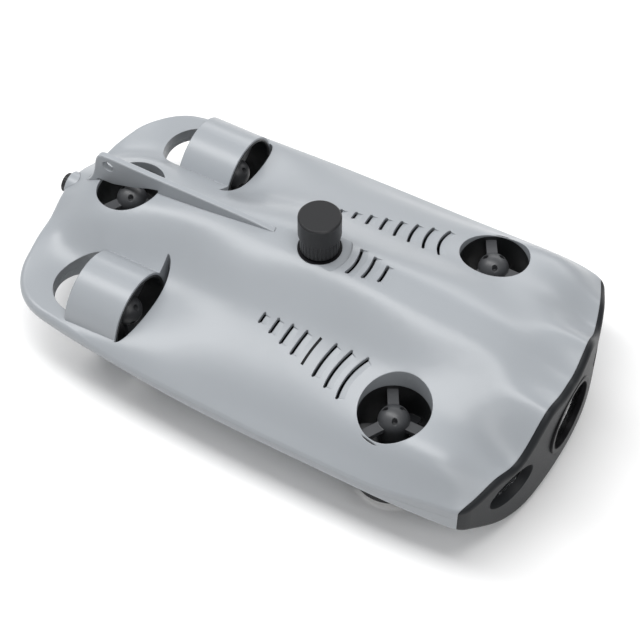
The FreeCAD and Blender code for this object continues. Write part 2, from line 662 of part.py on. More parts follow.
def tail_fin():
    """Fin that bridges the tail tunnel, with its root let into the upper moulding."""
    return fin_plate().cut(bar(SOCKET_RADIUS, SOCKET_START, TETHER_TIP, 0, TETHER_Z))


def upper_shell(body):
    """Upper moulding, with the slot that the fin's root sits in."""
    shell = body.common(block(-REACH, REACH, -REACH, REACH, PARTING_Z, PLAN_HIGH))
    return shell.cut(tail_fin())


def lower_shell(body):
    return body.common(block(-REACH, REACH, -REACH, REACH, PLAN_LOW, PARTING_Z))


# ---- Nose ---------------------------------------------------------------------------------

def nose_bezel(form):
    """Dark nose cap with a spigot that plugs into the open front of the hull."""
    cap = form.cut(behind_face(BEZEL_RADIUS, NOSE_Y + BEZEL_DEPTH))
    spigot = lofted_hull(WALL + SEAT_CLEARANCE).common(plan_outline(WALL + SEAT_CLEARANCE))
    spigot = spigot.common(block(-SPIGOT_HALF_WIDTH, SPIGOT_HALF_WIDTH, -REACH, SPIGOT_Y,
                                 PLAN_LOW, PLAN_HIGH))
    spigot = spigot.common(behind_face(FACE_RADIUS, NOSE_Y + BEZEL_DEPTH / 2))
    cuts = [bar(CAMERA_RING_RADIUS, NOSE_Y - CLEAR, camera_seat_y(), 0, CAMERA_Z),
            bar(LENS_HOOD_RADIUS + HOOD_CLEARANCE, NOSE_Y, SPIGOT_Y + CLEAR, 0, CAMERA_Z)]
    for side in (1, -1):
        cuts.append(lamp_funnel(side))
        cuts.append(lamp_solid(side, 0.0, -LAMP_WINDOW - LAMP_POCKET, LAMP_REACH))
    return cap.fuse(spigot).cut(cuts)


def camera_seat_y():
    return NOSE_Y + CAMERA_RECESS + WINDOW_THICKNESS


def camera_ring():
    """Black rim round the camera window."""
    ring = bar(CAMERA_RING_RADIUS, NOSE_Y - CAMERA_RING_PROUD, camera_seat_y(), 0, CAMERA_Z)
    inner = CAMERA_RING_RADIUS - CAMERA_RING_WIDTH
    step = bar(inner + WINDOW_REBATE, NOSE_Y + CAMERA_RECESS, camera_seat_y(), 0, CAMERA_Z)
    ring = ring.cut([bar(inner, NOSE_Y - CLEAR, camera_seat_y(), 0, CAMERA_Z), step])
    outside = [e for e in ring.Edges if e.BoundBox.YMax < NOSE_Y]
    return ring.makeChamfer(CAMERA_RING_CHAMFER, outside)


def camera_window():
    return bar(CAMERA_RING_RADIUS - CAMERA_RING_WIDTH + WINDOW_REBATE, NOSE_Y + CAMERA_RECESS,
               camera_seat_y(), 0, CAMERA_Z)


def hood_front():
    return camera_seat_y() + HOOD_GAP


def camera_hood():
    """Black lens barrel from the dry housing's front cap to just behind the window."""
    barrel = bar(LENS_HOOD_RADIUS, hood_front(), TUBE_FRONT - END_CAP, 0, CAMERA_Z)
    mouth = Part.makeCone(LENS_HOOD_RADIUS - HOOD_RIM, LENS_RADIUS, HOOD_MOUTH,
                          Vector(0, hood_front(), CAMERA_Z), Vector(0, 1, 0))
    lens_front = hood_front() + HOOD_MOUTH
    bore = bar(LENS_RADIUS, lens_front, lens_front + LENS_BARREL, 0, CAMERA_Z)
    return barrel.cut([mouth, bore])


def camera_lens():
    """Front glass of the lens, domed towards the window."""
    front = hood_front() + HOOD_MOUTH
    glass = bar(LENS_RADIUS, front, front + LENS_BARREL, 0, CAMERA_Z)
    return glass.common(Part.makeSphere(LENS_CURVE, Vector(0, front + LENS_CURVE, CAMERA_Z)))


def lamp_axis(side):
    turn = math.radians(LAMP_SKEW)
    return Vector(side * math.sin(turn), -math.cos(turn), 0)


def lamp_solid(side, grow, back, front, back_grow=None):
    """Oval plug along a lamp's axis; distances are measured from the lamp window's face."""
    if back_grow is None:
        back_grow = grow
    wires = []
    for distance, extra in ((back, back_grow), (front, grow)):
        edge = Part.Ellipse(Vector(0, 0, 0), LAMP_HALF_WIDTH + extra,
                            LAMP_HALF_HEIGHT + extra).toShape()
        edge.rotate(Vector(0, 0, 0), Vector(1, 0, 0), 90)
        edge.rotate(Vector(0, 0, 0), Vector(0, 0, 1), side * LAMP_SKEW)
        edge.translate(Vector(side * LAMP_X, LAMP_FACE_Y, LAMP_Z) + lamp_axis(side) * distance)
        wires.append(Part.Wire(edge))
    return Part.makeLoft(wires, True, True)


def lamp_funnel(side):
    """Flared recess in front of a lamp window."""
    return lamp_solid(side, LAMP_FLARE, 0.0, LAMP_FUNNEL, 0.0)


def lamp_windows():
    return Part.makeCompound([lamp_solid(side, 0.0, -LAMP_WINDOW, 0.0) for side in (1, -1)])


def lamp_reflectors():
    """Bright cups behind the lamp windows."""
    cups = []
    for side in (1, -1):
        floor = -LAMP_WINDOW - REFLECTOR_DEPTH
        outer = lamp_solid(side, 0.0, floor, -LAMP_WINDOW, -REFLECTOR_TAPER)
        inner = lamp_solid(side, -REFLECTOR_RIM, floor + REFLECTOR_FLOOR, -LAMP_WINDOW,
                           -REFLECTOR_TAPER - REFLECTOR_FLOOR)
        cups.append(outer.cut(inner))
    return Part.makeCompound(cups)


def lamp_leds():
    """Light sources on the floor of each cup."""
    chips = []
    for side in (1, -1):
        axis = lamp_axis(side)
        across = Vector(axis.y, -axis.x, 0)
        base = Vector(side * LAMP_X, LAMP_FACE_Y, LAMP_Z)
        base = base - axis * (LAMP_WINDOW + REFLECTOR_DEPTH - REFLECTOR_FLOOR)
        for offset in (-CHIP_OFFSET, CHIP_OFFSET):
            chips.append(Part.makeCylinder(CHIP_RADIUS, CHIP_HEIGHT, base + across * offset,
                                           axis))
    return Part.makeCompound(chips)


# ---- Thrusters ----------------------------------------------------------------------------

def tunnel_liner(x, y, foot, top):
    """Dark sleeve inside an upright tunnel."""
    return rod(liner_radius(), foot, top, x, y).cut(rod(TUNNEL_RADIUS, foot, top, x, y))


def duct_liner(x):
    """Dark sleeve through a duct; its rounded ends stand proud of the duct."""
    front, rear = DUCT_FRONT - DUCT_LIP, DUCT_REAR + DUCT_LIP
    outer = DUCT_RADIUS - DUCT_WALL
    sleeve = bar(outer, front, rear, x, DUCT_Z).cut(
        bar(duct_bore(), front, rear, x, DUCT_Z))
    ends = [e for e in sleeve.Edges if e.BoundBox.YLength < 1e-3]
    return sleeve.makeChamfer(DUCT_LIP - 0.1, ends)


def duct_bore():
    return DUCT_RADIUS - DUCT_WALL - LINER_WALL


def pod(bore):
    """Motor pod about the origin, dome upwards: the arms' undersides lie at height 0."""
    barrel = rod(POD_RADIUS, -POD_BARREL + ARM_THICKNESS, ARM_THICKNESS / 2)
    dome = Part.makeSphere(POD_RADIUS, Vector(0, 0, ARM_THICKNESS / 2))
    dome = dome.common(rod(POD_RADIUS + CLEAR, ARM_THICKNESS / 2, POD_RADIUS * 2))
    arm = block(0, bore + CLEAR, -ARM_WIDTH / 2, ARM_WIDTH / 2, 0, ARM_THICKNESS)
    arms = []
    for heading in ARM_HEADINGS:
        turned_arm = arm.copy()
        turned_arm.rotate(Vector(0, 0, 0), Vector(0, 0, 1), heading)
        arms.append(turned_arm)
    shape = barrel.fuse([dome] + arms).common(rod(bore, -REACH, REACH))
    cuts = [rod(MOTOR_RADIUS, pod_foot(), pod_foot() + MOTOR_LENGTH),
            rod(SHAFT_RADIUS + SHAFT_RUNNING_FIT, pod_foot(), shaft_top() + AXIAL_PLAY)]
    for heading in ARM_HEADINGS:
        at = arc_at(POD_HOLE_RING, (0, 0), heading + ARM_SPACING / 2, 0)
        cuts.append(rod(POD_HOLE_RADIUS, POD_HOLE_FLOOR, REACH, at.x, at.y))
    return shape.cut(cuts)


def pod_foot():
    return -POD_BARREL + ARM_THICKNESS


def shaft_top():
    return pod_foot() + MOTOR_LENGTH + SHAFT_SOCKET - AXIAL_PLAY


def motor():
    """Potted motor that closes the pod's barrel."""
    foot = pod_foot()
    return rod(MOTOR_RADIUS, foot, foot + MOTOR_LENGTH).cut(
        rod(SHAFT_RADIUS + MOTOR_GAP, foot, foot + MOTOR_LENGTH))


def hub_top():
    return pod_foot() - AXIAL_PLAY


def shaft():
    return rod(SHAFT_RADIUS, hub_top() - SHAFT_IN_HUB, shaft_top())


def propeller(bore, hand):
    """Three wide twisted blades on a rounded hub, below the pod."""
    top = hub_top()
    foot = top - HUB_LENGTH
    nose = [(HUB_RADIUS * share, foot + height) for share, height in HUB_NOSE]
    hub = turned([(0, foot)] + nose + [(HUB_RADIUS, top), (0, top)])
    blades = []
    for i in range(BLADE_COUNT):
        blade = propeller_blade(bore - TIP_CLEARANCE, hand)
        blade.translate(Vector(0, 0, top - BLADE_DROP))
        blade.rotate(Vector(0, 0, 0), Vector(0, 0, 1), i * 360 / BLADE_COUNT)
        blades.append(blade)
    wheel = hub.fuse(blades)
    return wheel.cut(rod(SHAFT_RADIUS, top - SHAFT_IN_HUB, top + CLEAR))


def blade_section(half_chord):
    """Lens-shaped section in the YZ plane, with blunt edges."""
    edge, crown = BLADE_EDGE / 2, BLADE_THICKNESS / 2
    faces = [Part.Arc(Vector(0, -half_chord, side * edge), Vector(0, 0, side * crown),
                      Vector(0, half_chord, side * edge)).toShape() for side in (1, -1)]
    ends = [Part.makeLine(Vector(0, y, -edge), Vector(0, y, edge))
            for y in (-half_chord, half_chord)]
    return Part.Wire(Part.__sortEdges__(faces + ends))


def propeller_blade(tip_radius, hand):
    """Blade along +X, lofted through three twisted sections and trimmed at the tip circle."""
    root = HUB_RADIUS * BLADE_ROOT
    radii = (root, (root + tip_radius) / 2, tip_radius + BLADE_OVERSHOOT)
    wires = []
    for radius, half_chord in zip(radii, BLADE_HALF_CHORDS):
        section = blade_section(half_chord)
        angle = math.degrees(math.atan(BLADE_PITCH / (2 * math.pi * radius)))
        section.rotate(Vector(0, 0, 0), Vector(1, 0, 0), hand * angle)
        section.translate(Vector(radius, 0, 0))
        wires.append(section)
    blade = Part.makeLoft(wires, True, False)
    return blade.common(rod(tip_radius, -REACH, REACH))


def place_lift(shape, x, y, liner_top):
    """Stand a thruster piece upright in a tunnel."""
    shape = shape.copy()
    shape.translate(Vector(x, y, liner_top - POD_TOP_DROP - ARM_THICKNESS / 2))
    return shape


def place_drive(shape, x):
    """Lay a thruster piece in a duct, dome forwards."""
    shape = shape.copy()
    shape.rotate(Vector(0, 0, 0), Vector(1, 0, 0), 90)
    shape.translate(Vector(x, DUCT_FRONT + DRIVE_ARM_SETBACK, DUCT_Z))
    return shape


# ---- Card port ----------------------------------------------------------------------------

def card_port_cap():
    """Screw-down cap: a smooth head over a ribbed waist, with a sealing plug below."""
    profile = [(0, CAP_FOOT), (CAP_WAIST_RADIUS - CAP_BREAK, CAP_FOOT),
               (CAP_WAIST_RADIUS, CAP_FOOT + CAP_BREAK), (CAP_WAIST_RADIUS, CAP_WAIST_TOP),
               (CAP_RADIUS, CAP_WAIST_TOP + CAP_BREAK), (CAP_RADIUS, CAP_TOP - CAP_CHAMFER),
               (CAP_RADIUS - CAP_CHAMFER, CAP_TOP), (0, CAP_TOP)]
    head = turned(profile, PORT_Y)
    grooves = []
    for i in range(CAP_RIBS):
        at = arc_at(CAP_WAIST_RADIUS + RIB_OFFSET, (0, PORT_Y), i * 360 / CAP_RIBS, 0)
        grooves.append(rod(RIB_GROOVE, CAP_FOOT - CLEAR, CAP_WAIST_TOP, at.x, at.y))
    plug = rod(PLUG_RADIUS, PLUG_FOOT, CAP_FOOT, 0, PORT_Y)
    return head.cut(grooves).fuse(plug)


def card_port_seat():
    """Fixed seat under the cap; the plug turns in its bore."""
    rim = DISH_FLOOR
    profile = [(PLUG_RADIUS + PLUG_RUNNING_FIT, PORT_FOOT), (PORT_RADIUS, PORT_FOOT),
               (PORT_RADIUS, rim - PORT_FLANGE),
               (PORT_SEAT_RADIUS, rim - PORT_FLANGE), (PORT_SEAT_RADIUS, rim),
               (PLUG_RADIUS + PLUG_RUNNING_FIT, rim)]
    return turned(profile, PORT_Y)


def card_socket():
    """Memory card and charging socket at the foot of the port."""
    foot = TUBE_Z + TUBE_RADIUS
    saddle = foot - SADDLE_DEPTH
    stem = rod(PLUG_RADIUS - CARD_STEM_GAP, saddle, PLUG_FOOT - CARD_STEM_GAP, 0, PORT_Y)
    collar = rod(PORT_RADIUS, saddle, PORT_FOOT, 0, PORT_Y)
    tube = bar(TUBE_RADIUS, PORT_Y - 2 * PORT_RADIUS, PORT_Y + 2 * PORT_RADIUS, 0, TUBE_Z)
    mouth = block(-CARD_HALF_WIDTH, CARD_HALF_WIDTH, PORT_Y - CARD_HALF_SLOT,
                  PORT_Y + CARD_HALF_SLOT, PLUG_FOOT - CARD_DEPTH, PLUG_FOOT)
    return stem.fuse(collar).cut([tube, mouth])


# ---- Tether port --------------------------------------------------------------------------

def tether_socket():
    """Bayonet socket at the tail, with a coupling notch in its side."""
    body = bar(SOCKET_RADIUS, SOCKET_START, SOCKET_END, 0, TETHER_Z)
    rims = [e for e in body.Edges if e.BoundBox.YMin > SOCKET_END - SOCKET_ROUND]
    body = body.makeFillet(SOCKET_ROUND, rims)
    neck = bar(COLLAR_RADIUS, SOCKET_END - SOCKET_ROUND, TETHER_TIP - RING_OVERHANG, 0,
               TETHER_Z)
    bore = bar(SOCKET_BORE, INSERT_START, TETHER_TIP, 0, TETHER_Z)
    notch = block(-2 * SOCKET_RADIUS, -COLLAR_RADIUS - SOCKET_ROUND, SOCKET_END - SOCKET_NOTCH,
                  SOCKET_END + SOCKET_NOTCH, -SOCKET_NOTCH / 2, SOCKET_NOTCH / 2)
    notch.rotate(Vector(0, 0, 0), Vector(0, 1, 0), -NOTCH_HEADING)
    notch.translate(Vector(0, 0, TETHER_Z))
    return body.fuse(neck).cut([bore, notch])


def tether_ring():
    """Knurled locking ring that turns on the socket's neck."""
    start = SOCKET_END + RING_GAP
    ring = bar(RING_RADIUS, start, TETHER_TIP, 0, TETHER_Z)
    ring = ring.makeChamfer(RING_CHAMFER, [e for e in ring.Edges if e.BoundBox.YLength < 1e-3])
    cuts = [bar(COLLAR_RADIUS + RING_FIT, start, TETHER_TIP, 0, TETHER_Z)]
    for i in range(RING_GRIPS):
        turn = 2 * math.pi * i / RING_GRIPS
        cuts.append(bar(RING_GROOVE, start, TETHER_TIP, RING_RADIUS * math.sin(turn),
                        TETHER_Z + RING_RADIUS * math.cos(turn)))
    return ring.cut(cuts)


def tether_insert():
    """Insulator with its row of contacts, seated in the socket's bore."""
    end = INSERT_START + INSERT_LENGTH
    core = bar(SOCKET_BORE, INSERT_START, end, 0, TETHER_Z)
    return core.cut([bar(CONTACT_RADIUS, INSERT_START + CONTACT_FLOOR, end, x, z)
                     for x, z in contact_places()])


def contact_places():
    turns = [2 * math.pi * i / CONTACTS for i in range(CONTACTS)]
    return [(CONTACT_RING * math.sin(t), TETHER_Z + CONTACT_RING * math.cos(t)) for t in turns]


def tether_contacts():
    start = INSERT_START + CONTACT_FLOOR
    end = INSERT_START + INSERT_LENGTH + CONTACT_REACH
    return Part.makeCompound([bar(CONTACT_RADIUS, start, end, x, z)
                              for x, z in contact_places()])


# ---- Dry housing --------------------------------------------------------------------------

def pressure_tube():
    return bar(TUBE_RADIUS, TUBE_FRONT, TUBE_REAR, 0, TUBE_Z).cut(
        bar(TUBE_RADIUS - TUBE_WALL, TUBE_FRONT, TUBE_REAR, 0, TUBE_Z))


def end_cap(face, inwards):
    """Flanged plug; face is the end of the tube, inwards is +1 or -1 along Y."""
    bore = TUBE_RADIUS - TUBE_WALL
    flange = bar(TUBE_RADIUS, *sorted((face, face - inwards * END_CAP)), 0, TUBE_Z)
    plug = bar(bore - CAP_FIT, *sorted((face, face + inwards * END_SPIGOT)), 0, TUBE_Z)
    groove_y = face + inwards * END_SPIGOT / 2
    groove = bar(bore, groove_y - SEAL_SECTION, groove_y + SEAL_SECTION, 0, TUBE_Z).cut(
        bar(bore - 2 * SEAL_SECTION, groove_y - CLEAR, groove_y + CLEAR, 0, TUBE_Z))
    return flange.fuse(plug).cut(groove)


def housing_seals():
    """Round seals in the two end caps' grooves."""
    seals = []
    bore = TUBE_RADIUS - TUBE_WALL
    for face, inwards in ((TUBE_FRONT, 1), (TUBE_REAR, -1)):
        middle = face + inwards * END_SPIGOT / 2
        start, end = middle - SEAL_SECTION, middle + SEAL_SECTION
        ring = bar(bore, start, end, 0, TUBE_Z)
        seals.append(ring.cut(bar(bore - 2 * SEAL_SECTION, start, end, 0, TUBE_Z)))
    return Part.makeCompound(seals)


def cell_places():
    turns = [2 * math.pi * (i + 0.5) / CELLS for i in range(CELLS)]
    return [(CELL_RING * math.sin(t), TUBE_Z + CELL_RING * math.cos(t)) for t in turns]


def battery_cells():
    return Part.makeCompound([bar(CELL_RADIUS, CELL_START, CELL_START + CELL_LENGTH, x, z)
                              for x, z in cell_places()])


def battery_holder():
    """Two end plates on a core; the cells stand between them."""
    wide = TUBE_RADIUS - TUBE_WALL - CAP_FIT
    pieces = []
    for start in (CELL_START - HOLDER_THICKNESS, CELL_START + CELL_LENGTH):
        pieces.append(bar(wide, start, start + HOLDER_THICKNESS, 0, TUBE_Z))
    core = bar(CELL_RING - CELL_RADIUS - CELL_GAP, CELL_START, CELL_START + CELL_LENGTH, 0,
               TUBE_Z)
    return core.fuse(pieces)


def control_boards():
    """Stack of circuit boards with their larger components."""
    boards = []
    for height in BOARD_HEIGHTS:
        board = block(-BOARD_WIDTH / 2, BOARD_WIDTH / 2, BOARD_Y - BOARD_LENGTH / 2,
                      BOARD_Y + BOARD_LENGTH / 2, height, height + BOARD_THICKNESS)
        face = height + BOARD_THICKNESS
        chips = [block(x - CHIP_HALF, x + CHIP_HALF, BOARD_Y + y - CHIP_HALF,
                       BOARD_Y + y + CHIP_HALF, face, face + CHIP_RISE)
                 for x, y in BOARD_CHIPS]
        holes = [rod(STANDOFF_RADIUS / 2, height - CLEAR, height + CLEAR, x, y)
                 for x, y in standoff_places()]
        boards.append(board.fuse(chips).cut(holes))
    return Part.makeCompound(boards)


def standoff_places():
    return [(sx * STANDOFF_X, BOARD_Y + sy * STANDOFF_Y) for sx in (1, -1) for sy in (1, -1)]


def board_standoffs():
    """Pillars between the boards, each with a stud through the board below it."""
    pillars = []
    gaps = zip(BOARD_HEIGHTS, BOARD_HEIGHTS[1:])
    for lower, upper in gaps:
        for x, y in standoff_places():
            pillar = rod(STANDOFF_RADIUS, lower + BOARD_THICKNESS, upper, x, y)
            pillars.append(pillar.fuse(rod(STANDOFF_RADIUS / 2, lower, upper, x, y)))
    return Part.makeCompound(pillars)


def board_sled():
    """Rails from the front cap that carry the boards' edges."""
    rails = []
    front = TUBE_FRONT + END_SPIGOT
    for side in (1, -1):
        for height in BOARD_HEIGHTS:
            reach = math.sqrt((TUBE_RADIUS - TUBE_WALL - CAP_FIT) ** 2
                              - (abs(height - TUBE_Z) + RAIL_CLEARANCE) ** 2)
            edge = BOARD_WIDTH / 2
            rails.append(block(*sorted((side * (edge - RAIL_HEIGHT), side * reach)), front,
                               BOARD_Y + BOARD_LENGTH / 2, height - RAIL_HEIGHT, height))
    return rails


# ---- Fixings, feet and ballast ------------------------------------------------------------

def shell_screws():
    """Screws that draw the two mouldings together."""
    screws = []
    for x, y in screw_places():
        head = rod(SCREW_HEAD_RADIUS, SCREW_SEAT_Z - SCREW_HEAD, SCREW_SEAT_Z, x, y)
        screws.append(head.fuse(rod(SCREW_RADIUS, SCREW_SEAT_Z, SCREW_TIP_Z, x, y)))
    return Part.makeCompound(screws)


def feet(form):
    """Rubber pads under the hull; their flat undersides are the resting surface."""
    return Part.makeCompound([rod(FOOT_RADIUS, 0, FOOT_HEIGHT, x, y).cut(form)
                              for x, y in foot_places()])


def mount_insert():
    """Threaded insert for accessories under the hull."""
    return rod(MOUNT_INSERT_RADIUS, insert_foot(), insert_top(), 0, MOUNT_Y).cut(
        rod(MOUNT_THREAD_RADIUS, insert_foot(), insert_top(), 0, MOUNT_Y))


def ballast_bars():
    """Trim weights on the floor of the lower moulding."""
    bars = []
    for side in (1, -1):
        x = side * BALLAST_X
        bars.append(block(x - BALLAST_WIDTH / 2, x + BALLAST_WIDTH / 2,
                          BALLAST_Y - BALLAST_LENGTH / 2, BALLAST_Y + BALLAST_LENGTH / 2,
                          BALLAST_FLOOR, BALLAST_FLOOR + BALLAST_HEIGHT))
    return Part.makeCompound(bars)


def depth_sensor():
    """Pressure sensor in the bulkhead behind the flooded space."""
    body = bar(SENSOR_RADIUS, SENSOR_START_Y, SENSOR_END_Y, 0, SENSOR_Z)
    return body.cut(bar(SENSOR_PORT_RADIUS, SENSOR_START_Y, SENSOR_START_Y + SENSOR_PORT_DEPTH,
                        0, SENSOR_Z))


# ---- Assembly -----------------------------------------------------------------------------

def thruster_nodes():
    nodes = {}
    for name, x, y, foot, top in lift_places():
        hand = -1 if x < 0 else 1
        nodes[name + "_liner"] = tunnel_liner(x, y, foot, top)
        nodes[name + "_pod"] = place_lift(pod(TUNNEL_RADIUS), x, y, top)
        nodes[name + "_motor"] = place_lift(motor(), x, y, top)
        nodes[name + "_shaft"] = place_lift(shaft(), x, y, top)
        nodes[name + "_propeller"] = place_lift(propeller(TUNNEL_RADIUS, hand), x, y, top)
    for name, x in drive_places():
        hand = 1 if x > 0 else -1
        nodes[name + "_liner"] = duct_liner(x)
        nodes[name + "_pod"] = place_drive(pod(duct_bore()), x)
        nodes[name + "_motor"] = place_drive(motor(), x)
        nodes[name + "_shaft"] = place_drive(shaft(), x)
        nodes[name + "_propeller"] = place_drive(propeller(duct_bore(), hand), x)
    return nodes


def all_nodes():
    form = hull_form()
    body = hull_body(form)
    nodes = {
        "upper_shell": upper_shell(body),
        "lower_shell": lower_shell(body),
        "tail_fin": tail_fin(),
        "nose_bezel": nose_bezel(form),
        "camera_ring": camera_ring(),
        "camera_window": camera_window(),
        "camera_hood": camera_hood(),
        "camera_lens": camera_lens(),
        "lamp_windows": lamp_windows(),
        "lamp_reflectors": lamp_reflectors(),
        "lamp_leds": lamp_leds(),
        "card_port_cap": card_port_cap(),
        "card_port_seat": card_port_seat(),
        "card_socket": card_socket(),
        "tether_socket": tether_socket(),
        "tether_ring": tether_ring(),
        "tether_insert": tether_insert(),
        "tether_contacts": tether_contacts(),
        "pressure_tube": pressure_tube(),
        "front_end_cap": end_cap(TUBE_FRONT, 1),
        "rear_end_cap": end_cap(TUBE_REAR, -1),
        "housing_seals": housing_seals(),
        "battery_cells": battery_cells(),
        "battery_holder": battery_holder(),
        "control_boards": control_boards(),
        "board_standoffs": board_standoffs(),
        "board_sled": Part.makeCompound(board_sled()),
        "shell_screws": shell_screws(),
        "feet": feet(form),
        "mount_insert": mount_insert(),
        "ballast_bars": ballast_bars(),
        "depth_sensor": depth_sensor(),
    }
    nodes.update(thruster_nodes())
    return nodes


def main():
    os.makedirs("parts", exist_ok=True)
    for name, shape in all_nodes().items():
        shape.exportStep("parts/" + name + ".step")


main()
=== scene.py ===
"""Finishes, studio and camera for the compact inspection vehicle."""

import json
import math

import bpy
from mathutils import Matrix, Vector


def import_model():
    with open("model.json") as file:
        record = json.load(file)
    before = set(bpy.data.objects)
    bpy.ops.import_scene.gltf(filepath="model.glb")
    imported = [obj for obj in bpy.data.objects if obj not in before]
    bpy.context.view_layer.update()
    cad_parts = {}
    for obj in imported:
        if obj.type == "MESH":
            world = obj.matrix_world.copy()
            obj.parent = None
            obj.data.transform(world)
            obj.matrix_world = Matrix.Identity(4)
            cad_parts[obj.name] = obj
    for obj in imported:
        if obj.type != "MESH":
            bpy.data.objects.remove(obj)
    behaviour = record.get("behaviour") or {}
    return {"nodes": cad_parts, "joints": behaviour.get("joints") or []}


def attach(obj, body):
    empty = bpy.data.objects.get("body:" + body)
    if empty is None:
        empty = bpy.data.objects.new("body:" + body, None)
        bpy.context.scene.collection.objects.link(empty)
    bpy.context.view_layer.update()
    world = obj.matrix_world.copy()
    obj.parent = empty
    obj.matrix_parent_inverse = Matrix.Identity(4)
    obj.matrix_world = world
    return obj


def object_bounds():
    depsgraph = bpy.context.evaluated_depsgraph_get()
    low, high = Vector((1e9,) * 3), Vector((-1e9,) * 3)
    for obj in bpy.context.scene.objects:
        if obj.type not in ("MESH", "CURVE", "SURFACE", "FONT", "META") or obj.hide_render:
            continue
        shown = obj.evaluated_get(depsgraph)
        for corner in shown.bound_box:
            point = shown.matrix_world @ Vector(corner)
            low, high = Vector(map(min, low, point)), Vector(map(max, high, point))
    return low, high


bl_info = {
    "name": "Inspection vehicle finishes",
    "version": (1, 0, 0),
    "blender": (4, 5, 0),
    "location": "3D View > Sidebar > Vehicle",
    "description": "Dresses the inspection vehicle's parts and sets up its studio",
    "category": "Object",
}

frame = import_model()
CAD_BOX = [list(corner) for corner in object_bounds()]
MM = 0.001
THRUSTERS = ("port_drive", "starboard_drive", "port_lift", "starboard_lift", "tail_lift")

# The painted slot shade follows the vent slot's arc about a lift thruster's axis, between two
# turns in degrees
VENT_AXIS = "starboard_lift_spin"
VENT_RADIUS = 67.49 * MM
VENT_TURNS = (71.4, 88.2)
VENT_HALF_WIDTH = 0.95 * MM
VENT_LIFT = 0.04 * MM       # keeps the strip just clear of the deck
VENT_STEPS = 12

GRAIN_DETAIL = 3.0
GRAIN_BUMP = 0.03
GRAIN_HEIGHT = 0.2 * MM
DRIFT_DETAIL = 2.0          # drift is the slow change of tone across a moulding
DRIFT_SCALE = 14.0
NOISE_RANGE = (0.3, 0.7)    # nearly all of a noise's values lie between these
TONE_SHIFT = 0.015
ROUGHNESS_SHIFT = 0.03
BROAD_GRAIN = 20 * MM       # for the windows and the floor
EDGE_SAMPLES = 6
WINDOW_ROUGHNESS = 0.02
WINDOW_INDEX = 1.46

FLOOR_SIZE = 12
FLOOR_DROP = 0.1 * MM       # keeps the floor just under the feet
FLOOR_ROUGHNESS = 0.9
FLOOR_SPECULAR = 0.1

# The camera looks at a point beside the frame's origin: turn and rise in degrees
CAMERA_TURN = -60.63
CAMERA_RISE = 52.43
CAMERA_REACH = 1.2924
CAMERA_AIM = (0.00823, 0.01522)
CAMERA_LENS = 105.64
CAMERA_SENSOR = 36
CAMERA_CLIP = 0.05


# ---- Sizes and colours a user would change --------------------------------------------------

def colour(label, text, value):
    return bpy.props.FloatVectorProperty(name=label, description=text, size=3, min=0, max=1,
                                         subtype="COLOR", default=value)


def share(label, text, value):
    return bpy.props.FloatProperty(name=label, description=text, min=0, max=1,
                                   subtype="FACTOR", default=value)


def length(label, text, value):
    return bpy.props.FloatProperty(name=label, description=text, min=0, unit="LENGTH",
                                   precision=5, default=value)


def power(label, text, value):
    return bpy.props.FloatProperty(name=label, description=text, min=0, unit="POWER",
                                   default=value)


class HullSettings(bpy.types.PropertyGroup):
    hull: colour("Hull", "Moulded colour of the hull", (0.300, 0.319, 0.341))
    bezel: colour("Bezel", "Moulded colour of the nose bezel", (0.013, 0.0145, 0.0165))
    roughness: share("Roughness", "Roughness of the satin mouldings", 0.33)
    grain: length("Grain", "Size of the moulded grain", 0.0006)
    edge: length("Edge", "Softness of the moulded edges", 0.0009)


class TrimSettings(bpy.types.PropertyGroup):
    cap: colour("Cap", "Colour of the port cap and the lock ring", (0.013, 0.0135, 0.015))
    liner: colour("Liner", "Colour of the tunnel and duct liners", (0.012, 0.013, 0.014))
    pod: colour("Pod", "Colour of the motor pods", (0.050, 0.052, 0.056))
    propeller: colour("Propeller", "Colour of the propellers", (0.018, 0.019, 0.021))
    rubber: colour("Rubber", "Colour of the housing's seals", (0.018, 0.018, 0.018))


class StudioSettings(bpy.types.PropertyGroup):
    floor: colour("Floor", "Colour of the floor", (0.93, 0.93, 0.93))
    key: power("Key", "Power of the long overhead lamp", 16.0)
    fill: power("Fill", "Power of the far side lamp", 5.0)
    front: power("Front", "Power of the near front lamp", 2.5)
    sky: bpy.props.FloatProperty(name="Sky", description="Strength of the even light", min=0,
                                 default=0.5)


# ---- Shader groups --------------------------------------------------------------------------

def socket(group, name, kind, into, value=None):
    made = group.interface.new_socket(name=name, socket_type=kind,
                                      in_out="INPUT" if into else "OUTPUT")
    if value is not None:
        made.default_value = value


def link(tree, source, target):
    tree.links.new(source, target)


def noise(group, place, detail):
    """Noise laid through a piece in its own space."""
    node = group.nodes.new("ShaderNodeTexNoise")
    node.inputs["Detail"].default_value = detail
    link(group, place.outputs["Object"], node.inputs["Vector"])
    return node


def spread(group, source, low, high):
    """A noise's values, spread from low to high."""
    node = group.nodes.new("ShaderNodeMapRange")
    node.inputs["From Min"].default_value = NOISE_RANGE[0]
    node.inputs["From Max"].default_value = NOISE_RANGE[1]
    node.inputs["To Min"].default_value = low
    node.inputs["To Max"].default_value = high
    link(group, source.outputs["Fac"], node.inputs["Value"])
    return node.outputs["Result"]


